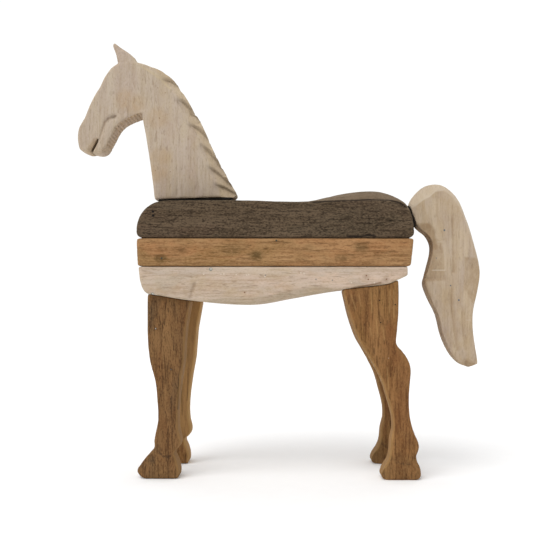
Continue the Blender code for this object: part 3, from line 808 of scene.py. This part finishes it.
def head_and_neck():
    """Neck and head: bevelled crest with slanting mane cuts, a furrow and a scooped mouth."""
    blank = Blank("head_and_neck", Z_AXIS, FINE, CARVED_COARSER)
    points = blank.flat()
    crest = seen((
        (139, 63.5), (150.4, 71.2), (160.1, 78.6), (169.9, 89.0), (176.2, 99.3), (181.9, 110.8),
        (187.7, 123.4), (196.3, 138.3), (200.9, 149.8), (206.6, 163.6), (211.8, 177.4),
        (214.6, 186.5), (218.1, 200),
    ), HEAD_FACE_Y)
    slope = bevel(points, crest, 0.26, 0.022)
    cuts = (
        ((160.5, 78.5), (170, 80.5), (186, 90.5)),
        ((175.3, 98.9), (183, 102), (190, 109), (200, 121)),
        ((187.4, 123.8), (196, 127.5), (207, 137), (214, 144)),
        ((200.3, 144.2), (208, 151), (217, 161.5), (226, 174)),
        ((207.7, 166.4), (219, 174.5), (244, 196)),
        ((214.2, 184.9), (224, 188), (244, 197.5)),
    )
    scoops = np.zeros(len(points))
    shades = np.zeros(len(points))
    for mane_cut in cuts:
        line = seen(mane_cut, HEAD_FACE_Y)
        scoops = np.maximum(scoops, groove(points, line, 1.0, 0.0042, 0.0110, 0.012))
        shades = np.maximum(shades, groove(points, line, 1.0, 0.0052, 0.0016, 0.008))
    carved = slope + 0.0046 * scoops
    furrow = seen(((117, 114.5), (108, 117.5), (104, 121.5), (101, 130), (98, 140)), HEAD_FACE_Y)
    carved = carved + groove(points, furrow, 0.0022, 0.0060, 0.0030)
    mouth = seen(((97.2, 138.5), (94.2, 144), (90.5, 150), (89.5, 155)), HEAD_FACE_Y)
    carved = carved + groove(points, mouth, 0.0048, 0.0012, 0.0075, 0.003)
    dent = seen(((113, 116.2),), HEAD_FACE_Y)[0]
    left, right = chiselled_sides(points, 30, 0.040, 0.015, 0.0007, math.radians(80), 14)
    left = left + 0.0009 * almond(points, dent, 0.4, 0.010, 0.0045)
    blank.carve(carved, left, right)
    jaw_line = seen(((144, 119), (134, 123), (126, 127), (119, 134), (112, 148)), HEAD_FACE_Y)
    ribs = 0.5 + 0.5 * np.sin(follow(points, jaw_line)[1] * math.tau / RIB_GAP)
    under = rise(-blank.normals[:, Z_AXIS], 0.2, 0.5)
    under = under * rise(0.60 - abs(blank.normals[:, Y_AXIS]), 0, 0.2)
    under = under * rise(points[:, UP], 0.44, 0.46)
    blank.push(0.0009 * under * ribs)
    notches = (
        ((150, 68), 0.0010), ((166, 73), 0.0008), ((181.5, 88), 0.0012), ((193, 112), 0.0030),
        ((207, 139), 0.0010), ((215, 154), 0.0014), ((221, 164.5), 0.0014), ((229, 179), 0.0010),
    )
    for mark, depth in notches:
        blank.press(seen((mark,), HEAD_FACE_Y)[0], depth, NOTCH_WIDTH, CREST_OUT)
    blank.push(worn_edges(blank, EDGE_WEAR * 0.6, 11))
    blank.push(grain_relief(blank, GRAIN_DEPTH, 0.0030, 0.050, 13))
    paint_form(blank)
    points = blank.flat()
    tan = seen(((125, 99), (134, 104), (157, 118), (162, 158), (158, 173)), HEAD_FACE_Y)
    paint(blank, "stain_and_shade", 0.55 * blobs(points, tan, 0.020))
    behind_crest = rise(bevel(points, crest, 1.0, 0.02), 0.001, 0.008)
    for mask in ("stain_and_shade", "bare_and_highlight"):
        paint(blank, mask, 0.30 * behind_crest, both=True)
    ribs = ribs * rise(layered_noise(blank.coords / WEAR_SPACING, 16), -0.5, 0.4)
    # painted shade under the jaw, deeper along the saw marks
    paint(blank, "stain_and_shade", under * (0.30 + 0.60 * ribs), both=True)
    # painted shade on the upper wall of each mane cut
    paint(blank, "dark_marks_and_shade", 0.38 * shades, both=True)
    # painted highlight along the crest's rim, in place of a lit chamfer
    rim = seen(((138.9, 65.1), (149, 71.2), (160, 78.6), (170, 89)), HEAD_FACE_Y)
    paint(blank, "bare_and_highlight", 0.7 * groove(points, rim, 1.0, 0.0040, 0.0010, 0.006), both=True)
    # painted shade: the dark line in the mouth's slit; its wider wall is toned brown
    paint(blank, "dark_marks_and_shade", 0.9 * groove(points, mouth, 1.0, 0.0016, 0.0030), both=True)
    paint(blank, "stain_and_shade", groove(points, mouth, 1.0, 0.0016, 0.0080), both=True)
    # painted shade in the chiselled dent
    paint(blank, "dark_marks_and_shade", 0.35 * blobs(points, [dent], 0.004, 1.6))
    blank.finish(PALE)


def tail():
    """Tail: a bevelled top and long chisel flats that meet in crisp edges."""
    blank = Blank("tail", Z_AXIS, FINE, CARVED_COARSER)
    points = blank.flat()
    facets = (
        (((404, 211), (415.5, 205.5), (423.4, 199.4), (429.5, 196.4), (435.6, 190.9),
          (443, 190), (451, 196), (459, 207), (465, 222), (472, 242), (478, 262)), 0.50, 0.016),
        (((437.5, 245), (435.3, 228), (430, 222.5), (421, 222), (410, 221.5)), 0.26, 0.020),
        (((446, 276), (444.2, 251), (441.7, 240.4), (436.8, 237.4), (430, 236)), 0.16, 0.030),
        (((452.5, 340), (447.9, 312.7), (444.2, 300.4), (440.5, 294.9), (430, 295)), 0.16, 0.030),
        (((490, 258), (463.2, 256), (463.8, 276), (463.2, 288), (470, 300)), 0.20, 0.020),
        (((480, 366), (473.6, 360.4), (468.7, 357.4), (463.8, 358), (461, 364)), 0.80, 0.012),
    )
    carved = np.zeros(len(points))
    for line, slope, reach in facets:
        carved = np.maximum(carved, bevel(points, seen(line, TAIL_FACE_Y), slope, reach))
    flutes = (
        ((450.5, 290), (451.5, 306), (454, 331), (458, 350)),
        ((461.5, 305), (462.5, 322), (465, 349)),
        ((452, 214), (453, 240), (453, 272)),
    )
    for line in flutes:
        depth = groove(points, seen(line, TAIL_FACE_Y), 0.0012, 0.0060, 0.0035, 0.010)
        carved = np.maximum(carved, depth)
    blank.carve(
        carved, *chiselled_sides(points, 22, 0.050, 0.015, 0.0007, math.radians(97), 24)
    )
    blank.push(worn_edges(blank, EDGE_WEAR * 0.4, 21))
    blank.push(grain_relief(blank, GRAIN_DEPTH, 0.0040, 0.070, 23))
    paint_form(blank)
    points = blank.flat()
    front_edge = rise(-blank.normals[:, X_AXIS], 0.55, 0.85)
    front_edge = front_edge * rise(0.350 - points[:, UP], 0, 0.03)
    paint(blank, "stain_and_shade", 0.4 * front_edge, both=True)
    # painted shade on the facets that fall away from their edges
    for number, strength in ((1, 0.85), (2, 0.55), (4, 0.60), (5, 0.70)):
        shade = bevel(points, seen(facets[number][0], TAIL_FACE_Y), 1.0, 0.01)
        shade = rise(shade, 0, 0.0030)
        paint(blank, "stain_and_shade", strength * shade, both=True)
    # painted light on the tail's bevelled top
    top = seen(facets[0][0], TAIL_FACE_Y)
    paint(blank, "bare_and_highlight", 0.45 * rise(bevel(points, top, 1.0, 0.01), 0, 0.0015), both=True)
    # painted highlight along the crisp ridge of the top bevel
    ridge = groove(points, top[:6], 1.0, 0.0014, 0.0014)
    paint(blank, "bare_and_highlight", 0.8 * ridge, both=True)
    # painted shade in the flutes
    for line in flutes:
        shade = groove(points, seen(line, TAIL_FACE_Y), 1.0, 0.0070, 0.0020, 0.010)
        paint(blank, "stain_and_shade", 0.55 * shade)
    scratches = (
        ((432, 270.2), (445, 270.2)), ((466.4, 320.3), (470.6, 320.3)),
        ((437, 242.1), (441.4, 242.1)),
    )
    for line in scratches:
        mark = groove(points, seen(line, TAIL_FACE_Y), 1.0, 0.0008, 0.0008, 0.001)
        paint(blank, "bare_and_highlight", 0.8 * mark)
    blank.finish(TAIL_WOOD)


def back_plank():
    """Back plank: deep weathered grain, an incised hip line, small holes and a chipped edge."""
    blank = Blank("back_plank", X_AXIS, PLANK_FINE, ALONG_COARSER)
    points = blank.flat()
    hip = seen((
        (311, 202.4), (325, 201.3), (340.3, 200.6), (354, 200.2), (368.5, 199.5), (382, 199.5),
        (390, 200), (397, 201.8), (401, 203.3), (406, 207.5),
    ), PLANK_FACE_Y)
    chip = seen(((347, 236.3), (360, 236.2), (370, 234.9), (376, 236.3)), PLANK_FACE_Y)
    left, right = chiselled_sides(points, 18, 0.060, 0.014, 0.0006, 0.0, 34)
    damage = groove(points, chip, 0.0020, 0.0012, 0.0022, 0.001)
    damage = damage + 0.0020 * blobs(points, seen(BACK_HOLES, PLANK_FACE_Y), 0.0022)
    blank.carve(groove(points, hip, 0.0020, 0.0016, 0.0012), left + damage, right)
    blank.push(worn_edges(blank, EDGE_WEAR, 31))
    blank.push(grain_relief(blank, WEATHERED_DEPTH, 0.0028, 0.040, 33))
    paint_form(blank)
    points = blank.flat()
    # painted light on the upward-turned croup above the hip line
    above = rise(follow(points, hip)[0], 0.0, 0.003) * rise(points[:, ALONG], 0.02, 0.06)
    paint(blank, "bare_and_highlight", 0.42 * above * rise(blank.normals[:, Z_AXIS], 0.1, 0.4), both=True)
    # painted shade in the incised hip line
    cut = groove(points, hip, 1.0, 0.0016, 0.0012) * (blank.normals[:, Z_AXIS] < 0.8)
    paint(blank, "dark_marks_and_shade", 0.9 * cut, both=True)
    # painted shade in the chipped edge
    paint(blank, "dark_marks_and_shade", 0.95 * groove(points, chip, 1.0, 0.0018, 0.0020, 0.001))
    blank.finish(DARK)


def middle_plank():
    """Middle plank: flat, with smudges of old stain."""
    blank = Blank("middle_plank", X_AXIS, PLANK_FINE, ALONG_COARSER)
    blank.push(worn_edges(blank, EDGE_WEAR, 41))
    blank.push(grain_relief(blank, GRAIN_DEPTH * 1.3, 0.0035, 0.050, 43))
    paint_form(blank)
    points = blank.flat()
    smudges = (
        ((160.6, 258.6), 0.0080, 1.00), ((181, 250), 0.0110, 0.30), ((232, 250), 0.0120, 0.35),
        ((256.5, 256), 0.0095, 0.80), ((361, 247), 0.0110, 0.50), ((341, 258), 0.0080, 0.50),
        ((309, 248), 0.0080, 0.25), ((300, 258), 0.0070, 0.25),
    )
    for spot, radius, strength in smudges:
        centre = seen((spot,), PLANK_FACE_Y)
        smudge = blobs(points, centre, radius, SMUDGE_STRETCH)
        paint(blank, "stain_and_shade", SMUDGE_STRENGTH * strength * smudge)
    blank.finish(TAN)


def belly_plank():
    """Belly plank: hand-flattened, whitewashed, with nail heads and small knots."""
    blank = Blank("belly_plank", X_AXIS, PLANK_FINE, ALONG_COARSER)
    points = blank.flat()
    wedge = seen(((196, 281), (193, 289), (189.5, 300)), PLANK_FACE_Y)
    left, right = chiselled_sides(points, 24, 0.050, 0.020, 0.0008, math.radians(8), 54)
    blank.carve(0.0, left + groove(points, wedge, 0.0014, 0.0030, 0.0080), right)
    blank.push(worn_edges(blank, EDGE_WEAR, 51))
    blank.push(grain_relief(blank, GRAIN_DEPTH, 0.0040, 0.060, 53))
    paint_form(blank)
    points = blank.flat()
    # painted shade on the underside of the belly
    paint(blank, "stain_and_shade", 0.7 * rise(-blank.normals[:, Z_AXIS], 0.15, 0.6), both=True)
    knots = seen(((366.5, 276.5), (386, 279)), PLANK_FACE_Y)
    paint(blank, "dark_marks_and_shade", 0.30 * blobs(points, knots, 0.0050, 1.5))
    # painted shade: a dark line along a gap
    gap = seen(((352, 288), (366, 285.5), (381, 282.5)), PLANK_FACE_Y)
    paint(blank, "dark_marks_and_shade", 0.9 * groove(points, gap, 1.0, 0.0016, 0.0030, 0.002))
    blank.finish(BELLY)


def front_leg(node, seed, material, paleness):
    """Front leg: bevelled edges, a carved coronet above the hoof, and dark checks.

    The paleness bleaches the leg above its hoof.
    """
    face_y = FRONT_LEG_FACE_Y
    blank = Blank(node, Z_AXIS, FINE, ALONG_COARSER)
    points = blank.flat()
    coronet = seen((
        (152, 446), (155, 448.6), (159, 453), (162.5, 456.8), (168, 457.6), (173.6, 454.3),
        (182, 448),
    ), face_y)
    toe = seen(((147.5, 480), (151, 462), (157, 450)), face_y)
    front = seen(((160, 440), (160.5, 425), (160, 392), (156, 366), (152.5, 330), (153, 292)),
                 face_y)
    carved = groove(points, coronet, 0.0024, 0.0045, 0.0030)
    carved = np.maximum(carved, bevel(points, toe, 0.40, 0.020))
    carved = np.maximum(carved, bevel(points, front, 0.35, 0.010))
    rear = seen(((182, 300), (180.5, 345), (177, 390), (176, 430)), face_y)
    carved = np.maximum(carved, bevel(points, rear, 0.12, 0.012))
    blank.carve(
        carved, *chiselled_sides(points, 28, 0.045, 0.011, 0.0008, math.radians(88), seed + 5)
    )
    blank.push(worn_edges(blank, EDGE_WEAR * 0.7, seed))
    blank.push(grain_relief(blank, GRAIN_DEPTH * 1.6, 0.0028, 0.045, seed + 3))
    paint_form(blank)
    points = blank.flat()
    paint(blank, "bare_and_highlight", paleness * rise(points[:, UP], 0.010, 0.060), both=True)
    # painted highlight on the faces turned to the rear
    paint(blank, "bare_and_highlight", 0.75 * rise(blank.normals[:, X_AXIS], 0.25, 0.6), both=True)
    # painted shade in the coronet's groove
    paint(blank, "stain_and_shade", 0.6 * groove(points, coronet, 1.0, 0.0024, 0.0020), both=True)
    checks = (
        ((168, 453), (168.3, 477)), ((174.7, 470), (175, 478)), ((171, 395), (171.5, 425)),
        ((178.5, 372), (177, 410)), ((163, 375), (162, 395)), ((173, 335), (173.5, 350)),
    )
    for line in checks:
        mark = groove(points, seen(line, face_y), 1.0, 0.0009, 0.0009, 0.003)
        paint(blank, "dark_marks_and_shade", 0.65 * mark)
    band = seen(((150.5, 300), (151, 330)), face_y)
    paint(blank, "stain_and_shade", 0.6 * groove(points, band, 1.0, 0.006, 0.006))
    scuff = seen(((152, 460.5),), face_y)
    paint(blank, "stain_and_shade", 0.7 * blobs(points, scuff, 0.006))
    blank.finish(material)


def hind_leg(node, seed, darkness):
    """Hind leg: long pale streaks, a knuckled hock and a carved coronet above the hoof.

    The darkness tones the whole leg down.
    """
    face_y = HIND_LEG_FACE_Y
    blank = Blank(node, Z_AXIS, FINE, ALONG_COARSER)
    points = blank.flat()
    coronet = seen((
        (386, 455), (389, 456), (393.7, 460), (396.8, 462.5), (402.5, 464), (409.8, 464.8),
        (413, 461), (417, 456.5),
    ), face_y)
    toe = seen(((391.5, 483), (391, 468), (393, 460)), face_y)
    shin = seen(((391.5, 450), (393, 424), (389, 404), (382, 383), (374, 366)), face_y)
    hock = seen(((389, 357), (386, 364), (393, 368)), face_y)
    carved = groove(points, coronet, 0.0024, 0.0045, 0.0035)
    carved = np.maximum(carved, bevel(points, toe, 0.40, 0.020))
    carved = np.maximum(carved, bevel(points, shin, 0.35, 0.010))
    carved = np.maximum(carved, groove(points, hock, 0.0010, 0.0035, 0.0035))
    blank.carve(
        carved, *chiselled_sides(points, 28, 0.050, 0.012, 0.0008, math.radians(95), seed + 5)
    )
    blank.push(worn_edges(blank, EDGE_WEAR * 0.7, seed))
    blank.push(grain_relief(blank, GRAIN_DEPTH * 1.4, 0.0032, 0.055, seed + 3))
    paint_form(blank)
    points = blank.flat()
    paint(blank, "dark_marks_and_shade", darkness, both=True)
    # painted highlight on the faces turned to the front
    paint(blank, "bare_and_highlight", 0.50 * rise(-blank.normals[:, X_AXIS], 0.25, 0.6), both=True)
    # painted shade in the coronet's groove
    paint(blank, "stain_and_shade", 0.5 * groove(points, coronet, 1.0, 0.0024, 0.0020), both=True)
    paint(blank, "stain_and_shade", 0.40 * rise(0.040 - points[:, UP], 0, 0.012), both=True)
    paint(blank, "stain_and_shade", 0.5 * bevel(points, toe, 120.0, 0.008), both=True)
    streaks = (
        ((350.5, 293), (356, 310)), ((358.5, 293), (361, 306)), ((371.5, 291), (372, 312)),
        ((390, 288), (389.5, 312)), ((376, 318), (378, 336)), ((383, 326), (384.5, 340)),
        ((369.5, 326), (371.5, 336)), ((387, 366), (389, 390)), ((394, 288), (394, 318)),
    )
    for line in streaks:
        mark = groove(points, seen(line, face_y), 1.0, 0.0010, 0.0010, 0.004)
        paint(blank, "bare_and_highlight", 0.70 * mark)
    # painted shade at the top of the leg under the belly and at the rear above the hoof
    shade = seen(((409, 436), (411, 444), (353, 300), (351, 306)), face_y)
    paint(blank, "stain_and_shade", 0.35 * blobs(points, shade, 0.010))
    blank.finish(RUSSET)


def block(node, seed):
    """Near-black block, with fine grain alone."""
    blank = Blank(node, X_AXIS, FINE, 1.0)
    blank.push(grain_relief(blank, GRAIN_DEPTH, 0.0030, 0.030, seed))
    paint_form(blank)
    blank.finish(BLACK)


# Studio

def studio():
    """Pale floor, surroundings that brighten away from the camera, and a broad sun."""
    reach = FLOOR_REACH
    corners = [(-reach, -reach, 0), (reach, -reach, 0), (reach, reach, 0), (-reach, reach, 0)]
    mesh = bpy.data.meshes.new("floor")
    mesh.from_pydata(corners, [], [(0, 1, 2, 3)])
    floor = bpy.data.objects.new("floor", mesh)
    bpy.context.scene.collection.objects.link(floor)
    graph = Graph("floor")
    speckle = graph.noise(graph.place, FLOOR_SPECKLE)
    graph.feed(graph.shader.inputs["Base Color"], graph.mix(speckle, *FLOOR_TONES))
    graph.shader.inputs["Roughness"].default_value = FLOOR_ROUGHNESS
    mesh.materials.append(graph.material)

    world = bpy.data.worlds.new("studio")
    world.use_nodes = True
    nodes, links = world.node_tree.nodes, world.node_tree.links
    direction = nodes.new("ShaderNodeTexCoord")
    split = nodes.new("ShaderNodeSeparateXYZ")
    level = nodes.new("ShaderNodeMapRange")
    level.interpolation_type = "SMOOTHSTEP"
    level.inputs["From Min"].default_value = -GLOW_EDGE
    level.inputs["From Max"].default_value = GLOW_EDGE
    level.inputs["To Min"].default_value = FRONT_GLOW
    level.inputs["To Max"].default_value = REAR_GLOW
    links.new(direction.outputs["Generated"], split.inputs[0])
    links.new(split.outputs["Y"], level.inputs[0])
    links.new(level.outputs[0], nodes["Background"].inputs["Strength"])
    nodes["Background"].inputs["Color"].default_value = (1, 1, 1, 1)
    bpy.context.scene.world = world

    data = bpy.data.lights.new("overhead", "SUN")
    data.energy = SUN_STRENGTH
    data.angle = SUN_WIDTH
    sun = bpy.data.objects.new("overhead", data)
    aim = -Vector(SUN_FROM)
    sun.rotation_euler = aim.to_track_quat("-Z", "Y").to_euler()
    bpy.context.scene.collection.objects.link(sun)


def camera():
    """Level camera just under the belly's height, square on to the horse's left side."""
    data = bpy.data.cameras.new("camera")
    data.sensor_width = SENSOR_WIDTH
    data.lens = FOCAL_PIXELS / FRAME_PIXELS * SENSOR_WIDTH
    data.shift_x = SHIFT_PIXELS[0] / FRAME_PIXELS
    data.shift_y = SHIFT_PIXELS[1] / FRAME_PIXELS
    eye = bpy.data.objects.new("camera", data)
    eye.location = CAMERA_PLACE
    eye.rotation_euler = (math.radians(90), 0, 0)
    bpy.context.scene.collection.objects.link(eye)
    bpy.context.scene.camera = eye


camera()
studio()
bpy.context.scene.view_settings.view_transform = "Standard"
head_and_neck()
tail()
back_plank()
middle_plank()
belly_plank()
front_leg("front_left_leg", 60, BROWN, paleness=0.0)
front_leg("front_right_leg", 70, RUSSET, paleness=FAR_FRONT_PALENESS)
hind_leg("hind_left_leg", 80, darkness=0.0)
hind_leg("hind_right_leg", 90, darkness=FAR_HIND_DARKNESS)
block("neck_block", 101)
block("tail_block", 111)
